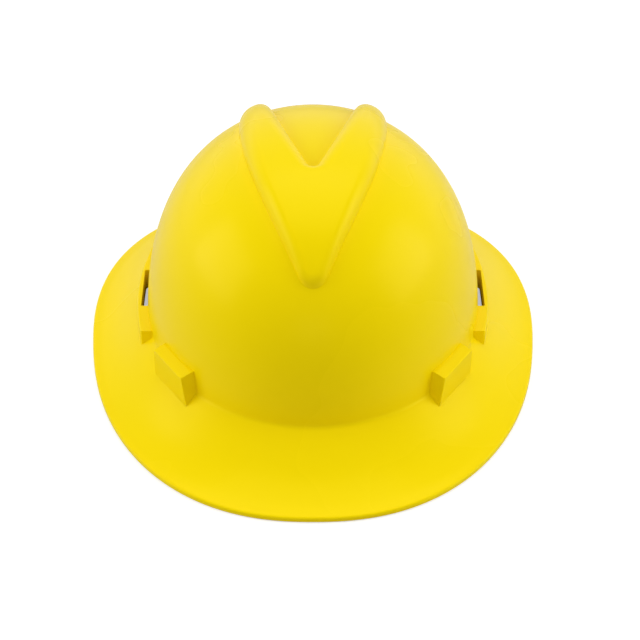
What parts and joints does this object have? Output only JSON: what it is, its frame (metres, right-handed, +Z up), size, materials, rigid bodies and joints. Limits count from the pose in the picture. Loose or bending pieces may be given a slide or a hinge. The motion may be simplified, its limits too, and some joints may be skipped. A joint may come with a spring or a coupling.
{
  "type": "full brim hard hat",
  "caption": "Full brim hard hat with a raised V on the crown, side accessory slots, strap suspension and ratchet headband.",
  "frame": {"origin": "under the middle of the brim, on the plane that the brim edge rests on", "axes": "+Z up through the crown, brow towards -Y, nape towards +Y, wearer's left towards +X"},
  "size_m": [0.2792, 0.322, 0.1487],
  "materials": {
    "shell_plastic": "smooth moulded polyethylene, softly glossy yellow",
    "key_plastic": "moulded nylon, charcoal",
    "webbing": "woven polyester webbing",
    "band_plastic": "moulded polyethylene strip",
    "brow_fabric": "brushed knit over foam",
    "pad_foam": "knit over foam",
    "housing_plastic": "fine spark-eroded texture",
    "knob_plastic": "satin, fluted rim",
    "gear_plastic": "natural acetal",
    "screw_steel": "zinc plated"
  },
  "bodies": {
    "shell": {"shell": "shell_plastic", "key_front_left": "key_plastic", "key_front_right": "key_plastic", "key_rear_left": "key_plastic", "key_rear_right": "key_plastic", "crown_strap_under": "webbing", "crown_strap_over": "webbing"},
    "headband": {"headband": "band_plastic", "band_arm_left": "band_plastic", "band_arm_right": "band_plastic", "height_studs": "key_plastic", "sweatband": "brow_fabric"},
    "nape": {"ratchet_base": "housing_plastic", "ratchet_cover": "housing_plastic", "housing_screws": "screw_steel", "nape_pad": "pad_foam"},
    "knob": {"ratchet_knob": "knob_plastic", "pinion": "gear_plastic", "detent_pawl": "gear_plastic", "knob_screw": "screw_steel"},
    "rack_left": {"rack_left": "band_plastic"},
    "rack_right": {"rack_right": "band_plastic"}
  },
  "joints": [
    {"name": "headband_height", "type": "slide", "parent": "shell", "child": "headband", "axis": [0, 0, 1], "range_m": [-0.006, 0.006]},
    {"name": "nape_slide", "type": "slide", "parent": "headband", "child": "nape", "axis": [0, -1, 0], "range_m": [0, 0.016]},
    {"name": "knob_turn", "type": "hinge", "parent": "nape", "child": "knob", "pos_m": [0, 0.1, 0.027], "axis": [0, -1, 0], "range_deg": [0, 183.4]},
    {"name": "rack_left_slide", "type": "slide", "parent": "headband", "child": "rack_left", "axis": [-0.7071, -0.7071, 0], "range_m": [0, 0.0227], "deforming": ["band_arm_left"]},
    {"name": "rack_right_slide", "type": "slide", "parent": "headband", "child": "rack_right", "axis": [0.7071, -0.7071, 0], "range_m": [0, 0.0227], "deforming": ["band_arm_right"]}
  ],
  "couplings": [
    {"joint": "knob_turn", "follows": "nape_slide", "rad_per_m": 200},
    {"joint": "rack_left_slide", "follows": "nape_slide", "ratio": 1.4142},
    {"joint": "rack_right_slide", "follows": "nape_slide", "ratio": 1.4142}
  ]
}
